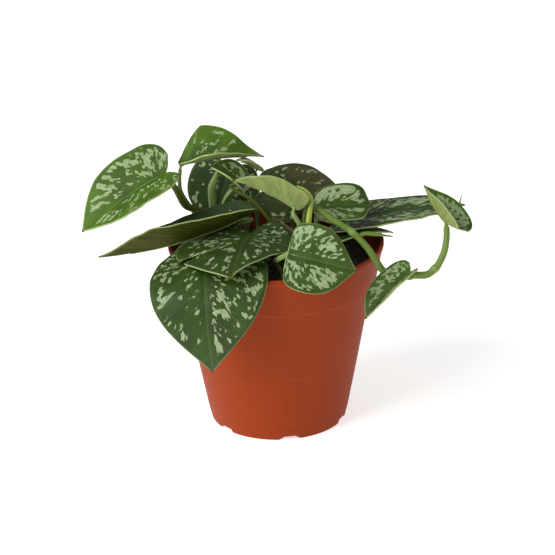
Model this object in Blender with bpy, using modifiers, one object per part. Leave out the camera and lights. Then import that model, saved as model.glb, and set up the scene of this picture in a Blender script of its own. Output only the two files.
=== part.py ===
"""A satin pothos in its round nursery pot.

The pot stands on its foot ring at z = 0 with its axis on the Z axis. The soil fills it to a little
below the rim. Petioles and one trailing vine rise from the soil, and each carries its leaf blade.
Sizes in the tables are in millimetres; the model is built in metres, +Z up, with -Y at the front.
"""

import math

import bmesh
import bpy
from mathutils import Matrix, Vector

MM = 0.001

# ---- driving dimensions, in millimetres ----
POT_HEIGHT = 91.5
RIM_RADIUS = 52.5
BAND_HEIGHT = 20.0
BAND_FOOT_RADIUS = 48.5
STEP_DEPTH = 1.2
BASE_RADIUS = 33.7
WALL = 1.2
FOOT_HEIGHT = 3.0
FOOT_WIDTH = 2.6
FLOOR = 1.4
NOTCHES = 6
NOTCH_WIDTH = 9.0
NOTCH_HEIGHT = 1.8
NOTCH_TURN = 9.0
DRAINS = 6
DRAIN_RADIUS = 3.0
DRAIN_CIRCLE = 22.0
SOIL_DROP = 11.0
GAP = 0.3
LEAF_THICK = 0.8
TIP_WIDTH = 0.35
PETIOLE_RUN = 2.5

POT_STEPS = 48
LEAF_ROWS = 9
LEAF_COLUMNS = 6
STEM_SPANS = 2

SOIL_TOP = POT_HEIGHT - SOIL_DROP

# The tables lay the plant out over a pot whose rim is this high and this wide.
LAYOUT_HEIGHT = 91.5
LAYOUT_RADIUS = 52.5

LEAF_DEFAULTS = dict(
    roll=0, arch=0, skew=0, twist=0, folds=(0, 0), curls=(0, 0),
    lobe=0.15, lift=0, notch=0.4, wide=0.27, shoulder=0, full=(0.5, 0.5),
)

# Each blade: where the petiole meets it, its tip, the width of its left and right halves, then how
# it is turned about its length (roll), bowed (arch, skew, twist) and folded or curled on each side.
LEAVES = {
    "leaf_far_left": dict(
        base=(-53, -8, 129.5), tip=(-92.5, -14, 103), halves=(17, 18), roll=-23, arch=2,
        folds=(14, 35), curls=(0, 10), lobe=0.13, full=(0.7, 0.7)),
    "leaf_top": dict(
        base=(-46, 2, 130.5), tip=(-5, 8, 132), halves=(17, 15), roll=13, arch=2,
        folds=(38, 34), curls=(15, 12), lobe=0, notch=0.08, wide=0.33, shoulder=0.3, full=(0, 0.2)),
    "leaf_long_left": dict(
        base=(-12.5, -10, 109), tip=(-84, -29, 96), halves=(15, 15), roll=-7, arch=-4, twist=35,
        folds=(42, 22), curls=(10, 10), lobe=0.05, notch=0.2, wide=0.45),
    "leaf_front_big": dict(
        base=(-33, -28, 97.2), tip=(-30.5, -61, 49.5), halves=(29.5, 26), arch=20, skew=-2.5,
        folds=(5, -4), curls=(0, -8), lobe=0.08, notch=0.5, shoulder=0.2, full=(0.5, 0.85)),
    "leaf_front_torn": dict(
        base=(-12.5, -18, 102), tip=(-20.5, -64, 98), halves=(23, 33), arch=3,
        folds=(0, -6), curls=(-10, -8), lobe=0.22, lift=5.5, full=(-0.4, 0.9)),
    "leaf_front_heart": dict(
        base=(5.5, -52, 105), tip=(37.5, -52, 96), halves=(16.5, 16), roll=67, arch=2,
        folds=(5, 5), curls=(5, 5), lobe=0, wide=0.34, full=(0.25, 0.6)),
    "leaf_pale_underside": dict(
        base=(10.5, -20, 115), tip=(-20, -16, 128.5), halves=(10, 10), roll=30, arch=2,
        folds=(45, 45), curls=(10, 10), lobe=0.06, wide=0.22),
    "leaf_small_centre": dict(
        base=(-18.5, -4.3, 122.5), tip=(-31, -4.5, 131.8), halves=(9.5, 9), roll=-15, arch=1,
        folds=(26, 40), curls=(10, 10), lobe=0.2, full=(0.6, 0.6)),
    "leaf_back_brown": dict(
        base=(-3, 26, 106), tip=(33, 31, 105), halves=(18, 17), roll=20, arch=3,
        folds=(5, 5), lobe=0.1, full=(0.9, 0.9)),
    "leaf_right_round": dict(
        base=(19, -2, 108.2), tip=(47, -3, 109.2), halves=(13.5, 13), roll=22, arch=2,
        folds=(8, 8), lobe=0, wide=0.5, full=(1, 1)),
    "leaf_right_long": dict(
        base=(31, 5.5, 98), tip=(92.6, 11, 104), halves=(17, 17), arch=1.5,
        folds=(4, 4), lobe=0.12, wide=0.35, full=(1, 1)),
    "leaf_right_tucked": dict(
        base=(30, -7, 94.5), tip=(57, 1.5, 94), halves=(9, 10), arch=2,
        folds=(0, 10), curls=(5, 10), lobe=0.15),
    "leaf_vine_tip": dict(
        base=(81.5, -20, 107), tip=(71.5, -4, 120), halves=(9, 13), roll=-5, arch=-2,
        folds=(78, -5), curls=(4, 10), lobe=0.42, full=(0.3, 0.6)),
    "leaf_vine_hanging": dict(
        base=(62, -38, 88), tip=(41.5, -46, 69), halves=(7.5, 9.5), roll=-30, arch=2,
        folds=(48, 5), curls=(8, 10), full=(1, 1)),
    "leaf_back_left": dict(
        base=(-22.8, 20, 120), tip=(-29.7, 15, 92.7), halves=(18, 18), roll=-35, arch=2,
        folds=(5, 5), lobe=0.2, full=(0.8, 0.8)),
    "leaf_centre_dark": dict(
        base=(9, 5, 106.2), tip=(-11, 8, 110.4), halves=(10, 10), roll=-40, arch=2,
        folds=(5, 5), lobe=0.05, notch=0.2),
    "leaf_back_sliver": dict(
        base=(-8, 44, 112.5), tip=(-19, 42, 118.5), halves=(6, 6), roll=10, arch=1,
        folds=(15, 15), lobe=0.1),
    "leaf_rear_drooping": dict(
        base=(8, 33, 97), tip=(11, 66.3, 87), halves=(15, 15), arch=6,
        folds=(5, 5), curls=(-10, -10), lobe=0.2, full=(0.7, 0.7)),
    "leaf_rear_left": dict(
        base=(-22, 27, 97), tip=(-40, 50, 95), halves=(13, 13), arch=4,
        folds=(5, 5), curls=(-5, -5), lobe=0.2, full=(0.7, 0.7)),
    "leaf_rear_right": dict(
        base=(30, 24, 96), tip=(49, 43, 94), halves=(12, 12), arch=4,
        folds=(5, 5), curls=(-5, -5), lobe=0.2, full=(0.7, 0.7)),
}

# Each petiole: the leaf it carries, where it leaves the soil, the points it passes and its radii.
PETIOLES = {
    "petiole_far_left": dict(
        leaf="leaf_far_left", soil=(-26, -3), radii=(2.1, 1.4),
        via=[(-29.5, -2, 96), (-36.5, 1, 106.5), (-43.5, -1.5, 111.2), (-47.8, -5.5, 121.5)]),
    "petiole_top": dict(
        leaf="leaf_top", soil=(-34, 9), radii=(1.3, 0.9),
        via=[(-36.5, 8.5, 98), (-41, 7, 106.5), (-45.7, 5, 116.5)]),
    "petiole_long_left": dict(
        leaf="leaf_long_left", soil=(-17, -3), radii=(1.4, 1.0),
        via=[(-17.8, -4, 95), (-17.4, -4.5, 101.5)]),
    "petiole_front_big": dict(
        leaf="leaf_front_big", soil=(-18, -14), radii=(1.6, 1.4), via=[(-21, -17, 88)]),
    "petiole_front_torn": dict(
        leaf="leaf_front_torn", soil=(-8, -12), radii=(1.4, 1.2), via=[(-9.5, -14, 92)]),
    "petiole_front_heart": dict(
        leaf="leaf_front_heart", soil=(2, -25), radii=(1.5, 1.2),
        via=[(0, -28, 90), (-0.5, -36, 95), (1.5, -44, 99.5)]),
    "petiole_pale_underside": dict(
        leaf="leaf_pale_underside", soil=(8, -18), radii=(1.5, 1.3),
        via=[(11, -21, 95), (12, -22, 106)]),
    "petiole_small_centre": dict(
        leaf="leaf_small_centre", soil=(3, -4), radii=(1.1, 0.8),
        via=[(0.5, -4, 97), (-3.2, -4, 104), (-11.1, -4, 113.9)]),
    "petiole_back_brown": dict(
        leaf="leaf_back_brown", soil=(-2, 17), radii=(1.5, 1.3), via=[(-3, 22, 94)]),
    "petiole_right_round": dict(
        leaf="leaf_right_round", soil=(20, 2), radii=(1.4, 1.2), via=[(20, 0, 98)]),
    "petiole_right_long": dict(
        leaf="leaf_right_long", soil=(26, 9), radii=(1.4, 1.2), via=[(29, 7, 88)]),
    "petiole_right_tucked": dict(
        leaf="leaf_right_tucked", soil=(25, -8), radii=(1.1, 0.9), via=[(28, -8, 88)]),
    "petiole_back_left": dict(
        leaf="leaf_back_left", soil=(-16, 17), radii=(1.6, 1.3),
        via=[(-14, 19, 94), (-17, 23.5, 108)]),
    "petiole_centre_dark": dict(
        leaf="leaf_centre_dark", soil=(-4, 2), radii=(1.3, 1.0),
        via=[(-3.6, 2, 96), (-1, 1.5, 101.5), (4, 3.5, 103.7)]),
    "petiole_back_sliver": dict(
        leaf="leaf_back_sliver", soil=(-9, 31), radii=(1.1, 0.9),
        via=[(-9, 36, 94), (-8.5, 42, 105)]),
    "petiole_rear_drooping": dict(
        leaf="leaf_rear_drooping", soil=(8, 24), radii=(1.5, 1.2), via=[(8, 29, 90)]),
    "petiole_rear_left": dict(
        leaf="leaf_rear_left", soil=(-19, 23), radii=(1.3, 1.1), via=[(-21, 25.5, 88)]),
    "petiole_rear_right": dict(
        leaf="leaf_rear_right", soil=(26, 19), radii=(1.3, 1.1), via=[(28, 22, 88)]),
}

# The vine that leaves the pot, and the petioles of its two leaves, which start at its side and end.
VINE = dict(
    soil=(14, -2), radii=(1.7, 1.8, 1.8, 1.9, 1.8),
    via=[(14.5, -5, 97), (14.5, -10, 108), (18, -14.5, 113.8), (28.2, -20, 108.6), (36.2, -23, 104),
         (42.6, -27, 98.3), (46.5, -30, 93.3), (50.8, -31, 87), (57.7, -30.5, 83.8),
         (64.3, -30, 84.2), (71.4, -30, 84.4), (75.9, -28.2, 87.2)])
VINE_PETIOLES = {
    "petiole_vine_tip": dict(
        leaf="leaf_vine_tip", radii=(1.8, 1.5),
        via=[(76.65, -27.85, 88), (79.7, -25.5, 93.6), (81, -23.3, 99.5)]),
    "petiole_vine_hanging": dict(
        leaf="leaf_vine_hanging", radii=(1.4, 1.2), via=[(63.5, -33.9, 85)]),
}

# Young growth with no blade of its own yet: points from the foot to the point.
SHOOTS = {
    "shoot_winged": dict(
        soil=(-28, 8), radii=(1.9, 1.7, 2.0, 0.5),
        via=[(-29.6, 7, 98), (-30.2, 6, 107.6), (-30.4, 5, 117), (-28.6, 3, 123.5), (-27, 1, 128)]),
    "shoot_bright": dict(
        soil=(15.5, -18), radii=(1.5, 1.3, 0.5),
        via=[(15.5, -20, 95), (15.5, -21, 106.7), (16.4, -20, 113.9), (17, -19, 119.6),
             (14.7, -18, 123.3), (10.5, -16, 125.1)]),
    "shoot_spear": dict(
        radii=(0.8, 1.0, 0.2), via=[(86.3, -4, 99.6), (87.8, -3, 105.4), (89.7, -2, 113.8)]),
    "bud_vine": dict(
        radii=(1.2, 1.4, 0.3), via=[(42.3, -22.5, 103.2), (48, -23, 102.5), (55.5, -23.5, 101.6)]),
    "bud_left": dict(
        radii=(0.7, 1.0, 0.7), via=[(-20.2, -2.5, 96), (-20.8, -3, 100.5), (-22.5, -3.5, 103.5)]),
}

# Thin papery sheaths, shaped as narrow blades.
SHEATHS = {
    "sheath_pale": dict(
        base=(-26.5, 3, 102), tip=(-17, 2.5, 118.5), halves=(4.5, 4.5), folds=(35, 35), arch=1,
        lobe=0, notch=0.3, wide=0.6, full=(0.6, 0.6)),
    "sheath_dry": dict(
        base=(9.5, -5.8, 97.3), tip=(2.2, -6, 104.5), halves=(1.8, 1.8), folds=(20, 20), arch=-1,
        lobe=0, notch=0.3, wide=0.5),
}

# ---- finishes: base colour and roughness ----
FINISHES = {
    "terracotta_plastic": ((0.42, 0.09, 0.035), 0.55),
    "potting_soil": ((0.022, 0.012, 0.008), 0.95),
    "leaf_green": ((0.06, 0.16, 0.035), 0.45),
    "stem_green": ((0.24, 0.40, 0.10), 0.5),
    "shoot_green": ((0.45, 0.60, 0.14), 0.5),
    "sheath_papery": ((0.40, 0.36, 0.20), 0.7),
}


def clear_scene():
    for item in list(bpy.data.objects):
        bpy.data.objects.remove(item, do_unlink=True)


def new_collection(name):
    collection = bpy.data.collections.new(name)
    bpy.context.scene.collection.children.link(collection)
    return collection


def finish(name):
    """The named Principled material, made the first time it is asked for."""
    material = bpy.data.materials.get(name)
    if material:
        return material
    colour, roughness = FINISHES[name]
    material = bpy.data.materials.new(name)
    material.use_nodes = True
    shader = material.node_tree.nodes["Principled BSDF"]
    shader.inputs["Base Color"].default_value = (*colour, 1.0)
    shader.inputs["Roughness"].default_value = roughness
    shader.inputs["Metallic"].default_value = 0.0
    return material


def place(item, collection, finish_name):
    collection.objects.link(item)
    item.data.materials.append(finish(finish_name))
    return item


# ---- pot and soil ----

def wall_radius(height):
    """Outer radius of the tapered wall below the band."""
    band_foot = POT_HEIGHT - BAND_HEIGHT
    return BASE_RADIUS + (BAND_FOOT_RADIUS - STEP_DEPTH - BASE_RADIUS) * height / band_foot


def band_radius(height):
    """Outer radius of the band around the rim."""
    band_foot = POT_HEIGHT - BAND_HEIGHT
    return BAND_FOOT_RADIUS + (RIM_RADIUS - BAND_FOOT_RADIUS) * (height - band_foot) / BAND_HEIGHT


def laid(point):
    """A table's point, or its place on the soil, which moves with the rim when the pot changes."""
    x, y, *heights = point
    spread = RIM_RADIUS / LAYOUT_RADIUS
    return (x * spread, y * spread, *(z + POT_HEIGHT - LAYOUT_HEIGHT for z in heights))


def turned(name, profile, collection, finish_name):
    """A solid of revolution about Z; the profile's outer side runs from top to bottom."""
    mesh = bpy.data.meshes.new(name)
    edges = [(i, i + 1) for i in range(len(profile) - 1)]
    mesh.from_pydata([(r * MM, 0, z * MM) for r, z in profile], edges, [])
    item = place(bpy.data.objects.new(name, mesh), collection, finish_name)
    screw = item.modifiers.new("turn", "SCREW")
    screw.axis = "Z"
    screw.angle = math.tau
    screw.steps = POT_STEPS
    screw.render_steps = POT_STEPS
    screw.use_merge_vertices = True
    screw.merge_threshold = 0.00001
    screw.use_smooth_shade = True
    return item


def cutter(name, bm, collection):
    mesh = bpy.data.meshes.new(name)
    bm.to_mesh(mesh)
    bm.free()
    item = bpy.data.objects.new(name, mesh)
    collection.objects.link(item)
    item.hide_render = True
    item.display_type = "WIRE"
    return item


def around(count, radius, turn):
    """Matrices that set a shape at `count` even places on a circle, the first near the front."""
    for i in range(count):
        angle = math.radians(turn - 90) + math.tau * i / count
        yield Matrix.Rotation(angle, 4, "Z") @ Matrix.Translation((radius * MM, 0, 0))


def make_pot(collection, cutters):
    band_foot = POT_HEIGHT - BAND_HEIGHT
    floor_top = FOOT_HEIGHT + FLOOR
    foot_inside = BASE_RADIUS - FOOT_WIDTH
    profile = [
        (0, floor_top),
        (wall_radius(floor_top) - WALL, floor_top),
        (wall_radius(band_foot) - WALL, band_foot),
        (band_radius(band_foot + WALL) - WALL, band_foot + WALL),
        (RIM_RADIUS - WALL, POT_HEIGHT),
        (RIM_RADIUS, POT_HEIGHT),
        (BAND_FOOT_RADIUS, band_foot),
        (wall_radius(band_foot), band_foot),
        (BASE_RADIUS, 0),
        (foot_inside, 0),
        (foot_inside, FOOT_HEIGHT),
        (0, FOOT_HEIGHT),
    ]
    pot = turned("pot", profile, collection, "terracotta_plastic")
    notches = bmesh.new()
    notch_size = (FOOT_WIDTH * 4 * MM, NOTCH_WIDTH * MM, NOTCH_HEIGHT * 2 * MM)
    for spot in around(NOTCHES, BASE_RADIUS - FOOT_WIDTH / 2, NOTCH_TURN):
        bmesh.ops.create_cube(notches, size=1, matrix=spot @ Matrix.Diagonal((*notch_size, 1)))
    drains = bmesh.new()
    for spot in around(DRAINS, DRAIN_CIRCLE, NOTCH_TURN):
        lifted = Matrix.Translation((0, 0, (FOOT_HEIGHT + FLOOR / 2) * MM)) @ spot
        bmesh.ops.create_cone(
            drains, cap_ends=True, segments=12, radius1=DRAIN_RADIUS * MM,
            radius2=DRAIN_RADIUS * MM, depth=FLOOR * 2 * MM, matrix=lifted)
    for name, bm in (("cut_foot_notches", notches), ("cut_drain_holes", drains)):
        cut = pot.modifiers.new(name, "BOOLEAN")
        cut.operation = "DIFFERENCE"
        cut.solver = "EXACT"
        cut.object = cutter(name, bm, cutters)


def make_soil(collection):
    band_foot = POT_HEIGHT - BAND_HEIGHT
    bottom = FOOT_HEIGHT + FLOOR + GAP
    inset = WALL + GAP
    profile = [
        (0, SOIL_TOP),
        (band_radius(SOIL_TOP) - inset, SOIL_TOP),
        (band_radius(band_foot + WALL) - inset, band_foot + WALL),
        (wall_radius(band_foot) - inset, band_foot),
        (wall_radius(bottom) - inset, bottom),
        (0, bottom),
    ]
    turned("soil", profile, collection, "potting_soil")


# ---- blades ----

def cubic(points, t):
    """A point of the cubic curve with these four control points."""
    a, b, c, d = (Vector(p) for p in points)
    return (1 - t) ** 3 * a + 3 * (1 - t) ** 2 * t * b + 3 * (1 - t) * t ** 2 * c + t ** 3 * d


def margin(blade, side, share):
    """The outline of one half: share of the length and share of the half width.

    It runs from the end of the lobe behind the petiole, round the widest place, to the tip.
    """
    split = 0.42
    notch, wide, full = blade["notch"], blade["wide"], blade["full"][side]
    if share < split:
        swell = (blade["shoulder"] / 2 - blade["lobe"], 0.1 + notch + 0.45 * (1 - notch))
        shoulder = (wide - 0.33 + blade["shoulder"], 1)
        return cubic([(-blade["lobe"], notch), swell, shoulder, (wide, 1)], share / split)
    fall = (wide + 0.28 + 0.18 * full, 1)
    return cubic([(wide, 1), fall, (0.8, 0.18 + 0.42 * full), (1, 0)], (share - split) / (1 - split))


def mix(a, b, share):
    return a + (b - a) * share


def blade_point(blade, length, share, across):
    """A point of the blade in its own frame: X along it, Y to its left, Z above it.

    `share` runs from the lobes to the tip and `across` from -1 at the right margin to 1 at the left.
    """
    side = 0 if across > 0 else 1
    sign = 1 if across > 0 else -1
    half = blade["halves"][side]
    edge = margin(blade, side, share)
    reach = abs(across)
    ease = min(share / 0.3, 1)
    ease = ease * ease * (3 - 2 * ease)
    rib = share ** 2.2
    x = rib + (edge[0] - rib) * reach ** mix(0.8, 1.25, ease)
    out = max(edge[1] * reach ** mix(1.7, 0.95, ease), TIP_WIDTH / half * reach)

    front = min(max(x, 0), 1)
    rear = min(x, 0)
    height = 4 * blade["arch"] * (front * (1 - front) + rear)
    if blade["lobe"]:
        height += blade["lift"] * (rear / blade["lobe"]) ** 2
    slope = math.atan(4 * blade["arch"] * (1 - 2 * front) / length)
    normal = Vector((-math.sin(slope), 0, math.cos(slope)))
    turn = Matrix.Rotation(math.radians(blade["twist"]) * x, 3, normal.cross((0, -1, 0)))
    normal = turn @ normal
    left = turn @ Vector((0, 1, 0))

    fold = math.radians(blade["folds"][side])
    curl = math.radians(blade["curls"][side]) or 0.000001
    sideways = half * (math.sin(fold + curl * out) - math.sin(fold)) / curl
    rise = half * (math.cos(fold) - math.cos(fold + curl * out)) / curl
    bow = blade["skew"] * math.sin(math.pi * front)
    return Vector((length * x, 0, height)) + left * (sign * sideways + bow) + normal * rise


def laid_blade(spec):
    """A blade's whole entry, with its two ends laid out over the pot."""
    return LEAF_DEFAULTS | spec | dict(base=laid(spec["base"]), tip=laid(spec["tip"]))


def blade_matrix(blade):
    """Where the blade stands: its origin at the petiole, X towards the tip, turned by its roll."""
    base = Vector(blade["base"])
    along = (Vector(blade["tip"]) - base).normalized()
    level = Vector((-along.y, along.x, 0)).normalized()
    left = Matrix.Rotation(math.radians(blade["roll"]), 3, along) @ level
    axes = Matrix((along, left, along.cross(left))).transposed()
    return Matrix.Translation(base * MM) @ axes.to_4x4()


def make_blade(name, spec, collection, finish_name):
    blade = laid_blade(spec)
    length = (Vector(blade["tip"]) - Vector(blade["base"])).length
    bm = bmesh.new()
    bmesh.ops.create_grid(bm, x_segments=LEAF_ROWS, y_segments=LEAF_COLUMNS, size=0.5)
    for vert in bm.verts:
        vert.co = blade_point(blade, length, vert.co.x + 0.5, vert.co.y * 2) * MM
    mesh = bpy.data.meshes.new(name)
    bm.to_mesh(mesh)
    bm.free()
    mesh.shade_smooth()
    item = place(bpy.data.objects.new(name, mesh), collection, finish_name)
    item.matrix_world = blade_matrix(blade)
    skin = item.modifiers.new("thickness", "SOLIDIFY")
    skin.thickness = LEAF_THICK * MM
    skin.offset = 0
    return item


# ---- stems ----

def smooth_route(points, spans):
    """Points on a Catmull-Rom curve through the given ones, its first and last spans straight."""
    route = [points[0]]
    for a, b, c, d in zip(points, points[1:], points[2:], points[3:]):
        for i in range(spans):
            t = i / spans
            route.append(
                (2 * b + (c - a) * t + (2 * a - 5 * b + 4 * c - d) * t ** 2
                 + (3 * b - a - 3 * c + d) * t ** 3) / 2)
    return [*route, *points[-2:]]


def radius_at(radii, share):
    place_on = share * (len(radii) - 1)
    i = min(int(place_on), len(radii) - 2)
    return mix(radii[i], radii[i + 1], place_on - i)


def make_tube(name, points, radii, collection, finish_name):
    route = smooth_route([Vector(p) for p in points], STEM_SPANS)
    curve = bpy.data.curves.new(name, "CURVE")
    curve.dimensions = "3D"
    curve.bevel_depth = MM
    curve.bevel_resolution = 2
    curve.use_fill_caps = True
    curve.render_resolution_u = 0
    spline = curve.splines.new("POLY")
    spline.points.add(len(route) - 1)
    for i, (point, where) in enumerate(zip(spline.points, route)):
        point.co = (*(where * MM), 1)
        point.radius = radius_at(radii, i / (len(route) - 1))
    spline.use_smooth = True
    return place(bpy.data.objects.new(name, curve), collection, finish_name)


def rooted(stem):
    """The stem's points, starting upright at its place in the soil where it has one."""
    via = [laid(point) for point in stem["via"]]
    if "soil" not in stem:
        return via
    x, y = laid(stem["soil"])
    foot = SOIL_TOP + GAP
    return [(x, y, foot), (x, y, foot + 4), *via]


def to_blade(spec):
    """The last two points of a petiole: it meets the underside of its blade square on."""
    blade = laid_blade(spec)
    length = (Vector(blade["tip"]) - Vector(blade["base"])).length
    slope = math.atan(4 * blade["arch"] / length)
    below = blade_matrix(blade).to_3x3() @ Vector((math.sin(slope), 0, -math.cos(slope)))
    base = Vector(blade["base"])
    clear = LEAF_THICK / 2 + GAP
    return [base + below * (clear + PETIOLE_RUN), base + below * clear]


def main():
    clear_scene()
    plant = new_collection("potted_satin_pothos")
    cutters = new_collection("cutters")
    make_pot(plant, cutters)
    make_soil(plant)
    for name, blade in LEAVES.items():
        make_blade(name, blade, plant, "leaf_green")
    for name, blade in SHEATHS.items():
        make_blade(name, blade, plant, "sheath_papery")
    for name, stem in (PETIOLES | VINE_PETIOLES).items():
        points = rooted(stem) + to_blade(LEAVES[stem["leaf"]])
        make_tube(name, points, stem["radii"], plant, "stem_green")
    make_tube("vine", rooted(VINE), VINE["radii"], plant, "stem_green")
    for name, stem in SHOOTS.items():
        make_tube(name, rooted(stem), stem["radii"], plant, "shoot_green")


main()
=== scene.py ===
"""The looks of a satin pothos in its nursery pot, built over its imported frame.

The pot stands at the origin with +Z up and -Y at the front. The tables give the leaves and stems in
millimetres and the meshes are made in metres.
"""

import math

import bmesh
import bpy
from bpy.props import FloatProperty, FloatVectorProperty, IntProperty, PointerProperty
from mathutils import Matrix, Vector, noise


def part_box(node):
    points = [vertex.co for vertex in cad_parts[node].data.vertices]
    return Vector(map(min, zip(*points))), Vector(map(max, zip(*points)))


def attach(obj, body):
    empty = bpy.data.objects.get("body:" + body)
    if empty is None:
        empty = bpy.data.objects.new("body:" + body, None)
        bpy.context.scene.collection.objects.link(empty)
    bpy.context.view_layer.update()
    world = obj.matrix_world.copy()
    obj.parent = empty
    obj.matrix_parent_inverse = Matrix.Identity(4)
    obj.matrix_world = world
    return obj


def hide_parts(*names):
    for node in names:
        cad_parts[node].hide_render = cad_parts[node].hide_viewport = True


bl_info = {
    "name": "Potted satin pothos",
    "version": (1, 0, 0),
    "blender": (4, 5, 0),
    "location": "View3D > Sidebar > Pothos",
    "description": "Builds a satin pothos in a round nursery pot, with its soil, leaves and vine",
    "category": "Object",
}

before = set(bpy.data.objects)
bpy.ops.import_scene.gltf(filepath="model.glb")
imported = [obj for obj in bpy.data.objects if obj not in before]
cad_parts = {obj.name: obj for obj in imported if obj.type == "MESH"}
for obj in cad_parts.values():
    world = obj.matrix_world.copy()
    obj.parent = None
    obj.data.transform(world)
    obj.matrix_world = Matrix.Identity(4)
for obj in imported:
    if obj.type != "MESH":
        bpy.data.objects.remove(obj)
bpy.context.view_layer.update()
POT_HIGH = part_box("pot")[1]
SOIL_LOW, SOIL_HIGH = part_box("soil")

MM = 0.001

# Pot, with its lengths in metres.
FIRST_NOTCH = math.radians(-81)
DRAIN_RING = 0.022
DRAIN_RADIUS = 0.003
LIP_HEIGHT = 0.0022
LIP_DEPTH = 0.0006
FOOT_BEND = 0.006
WALL_SPAN = 0.006
POT_STEPS = 160

# Soil, with its lengths in metres.
SOIL_DIP = 0.0006
CRUMB_INSET = 0.0012
CRUMB_SEED = 7
SOIL_RINGS = 40
SOIL_STEPS = 150

# Blades: the veins' spacing in millimetres, how the rows are spaced along the midrib, the share of
# the half width at which a tear starts, and how wide it gapes as a share of the length.
VEIN_SPACING = 4.2
RIB_POWER = 2.2
TEAR_START = 0.45
TEAR_GAPE = 0.036

# Stems: spans between two given points, and the reach in millimetres and swell of a joint.
STEM_SPANS = 7
JOINT_REACH = 1.3
JOINT_SWELL = 0.22

# ---- the plant's own tables, in millimetres and degrees ----

LEAF_DEFAULTS = dict(
    roll=0, arch=2, skew=0, twist=0, folds=(5, 5), curls=(0, 0),
    lobe=0.15, lift=0, notch=0.4, wide=0.27, shoulder=0, full=(0.5, 0.5),
    young=0.3, silver=0.5, brown=0, olive=0, tear=None,
)

# Each blade: where the petiole meets it, its tip, the width of its left and right halves, how it is
# turned, bowed, folded and curled, then how young, silvery or brown it is.
LEAVES = {
    "far_left": dict(
        base=(-53, -8, 129.5), tip=(-92.5, -14, 103), halves=(17, 18), roll=-23, folds=(14, 35),
        curls=(0, 10), lobe=0.13, full=(0.7, 0.7), young=0.8, silver=0.5),
    "top": dict(
        base=(-46, 2, 130.5), tip=(-5, 8, 132), halves=(17, 15), roll=13, folds=(38, 34),
        curls=(15, 12), lobe=0, notch=0.08, wide=0.33, shoulder=0.3, full=(0, 0.2), young=1,
        silver=0.4),
    "long_left": dict(
        base=(-12.5, -10, 109), tip=(-84, -29, 96), halves=(15, 15), roll=-7, arch=-4, twist=35,
        folds=(42, 22), curls=(10, 10), lobe=0.05, notch=0.2, wide=0.45, young=0, silver=0.2,
        olive=1),
    "front_big": dict(
        base=(-33, -28, 97.2), tip=(-30.5, -61, 49.5), halves=(29.5, 26), arch=20, skew=-2.5,
        folds=(5, -4), curls=(0, -8), lobe=0.08, notch=0.5, shoulder=0.2, full=(0.5, 0.85),
        young=0.15, silver=0.55),
    "front_torn": dict(
        base=(-12.5, -18, 102), tip=(-20.5, -64, 98), halves=(23, 33), arch=3, folds=(0, -6),
        curls=(-10, -8), lobe=0.22, lift=5.5, full=(-0.4, 0.9), young=0.1, silver=0.5, tear=0.62),
    "front_heart": dict(
        base=(5.5, -52, 105), tip=(37.5, -52, 96), halves=(16.5, 16), roll=67, curls=(5, 5), lobe=0,
        wide=0.34, full=(0.25, 0.6), young=0.3, silver=0.8),
    "pale_underside": dict(
        base=(10.5, -20, 115), tip=(-20, -16, 128.5), halves=(10, 10), roll=30, folds=(45, 45),
        curls=(10, 10), lobe=0.06, wide=0.22, young=0.6, silver=0.5),
    "small_centre": dict(
        base=(-18.5, -4.3, 122.5), tip=(-31, -4.5, 131.8), halves=(9.5, 9), roll=-15, arch=1,
        folds=(26, 40), curls=(10, 10), lobe=0.2, full=(0.6, 0.6), young=0.6, silver=0.65),
    "back_brown": dict(
        base=(-3, 26, 106), tip=(33, 31, 105), halves=(18, 17), roll=20, arch=3, lobe=0.1,
        full=(0.9, 0.9), young=0, silver=0.5, brown=1),
    "right_round": dict(
        base=(19, -2, 108.2), tip=(47, -3, 109.2), halves=(13.5, 13), roll=22, folds=(8, 8), lobe=0,
        wide=0.5, full=(1, 1), young=0.35, silver=0.95),
    "right_long": dict(
        base=(31, 5.5, 98), tip=(92.6, 11, 104), halves=(17, 17), arch=1.5, folds=(4, 4), lobe=0.12,
        wide=0.35, full=(1, 1), young=0.15, silver=0.6, brown=0.2),
    "right_tucked": dict(
        base=(30, -7, 94.5), tip=(57, 1.5, 94), halves=(9, 10), folds=(0, 10), curls=(5, 10),
        lobe=0.15, young=0.1, silver=0.4),
    "vine_tip": dict(
        base=(81.5, -20, 107), tip=(71.5, -4, 120), halves=(9, 13), roll=-5, arch=-2,
        folds=(78, -5), curls=(4, 10), lobe=0.42, full=(0.3, 0.6), young=0.8, silver=1),
    "vine_hanging": dict(
        base=(62, -38, 88), tip=(41.5, -46, 69), halves=(7.5, 9.5), roll=-30, folds=(48, 5),
        curls=(8, 10), full=(1, 1), young=0.7, silver=1.05),
    "back_left": dict(
        base=(-22.8, 20, 120), tip=(-29.7, 15, 92.7), halves=(18, 18), roll=-35, lobe=0.2,
        full=(0.8, 0.8), young=0.1, silver=0.4),
    "centre_dark": dict(
        base=(9, 5, 106.2), tip=(-11, 8, 110.4), halves=(10, 10), roll=-40, lobe=0.05, notch=0.2,
        young=0.1, silver=0.45, brown=0.3),
    "back_sliver": dict(
        base=(-8, 44, 112.5), tip=(-19, 42, 118.5), halves=(6, 6), roll=10, arch=1, folds=(15, 15),
        lobe=0.1, young=0, silver=0.3, brown=0.6),
    "rear_drooping": dict(
        base=(8, 33, 97), tip=(11, 66.3, 87), halves=(15, 15), arch=6, curls=(-10, -10), lobe=0.2,
        full=(0.7, 0.7), young=0.2, silver=0.6),
    "rear_left": dict(
        base=(-22, 27, 97), tip=(-40, 50, 95), halves=(13, 13), arch=4, curls=(-5, -5), lobe=0.2,
        full=(0.7, 0.7), young=0.3, silver=0.5),
    "rear_right": dict(
        base=(30, 24, 96), tip=(49, 43, 94), halves=(12, 12), arch=4, curls=(-5, -5), lobe=0.2,
        full=(0.7, 0.7), young=0.4, silver=0.65),
}

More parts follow.
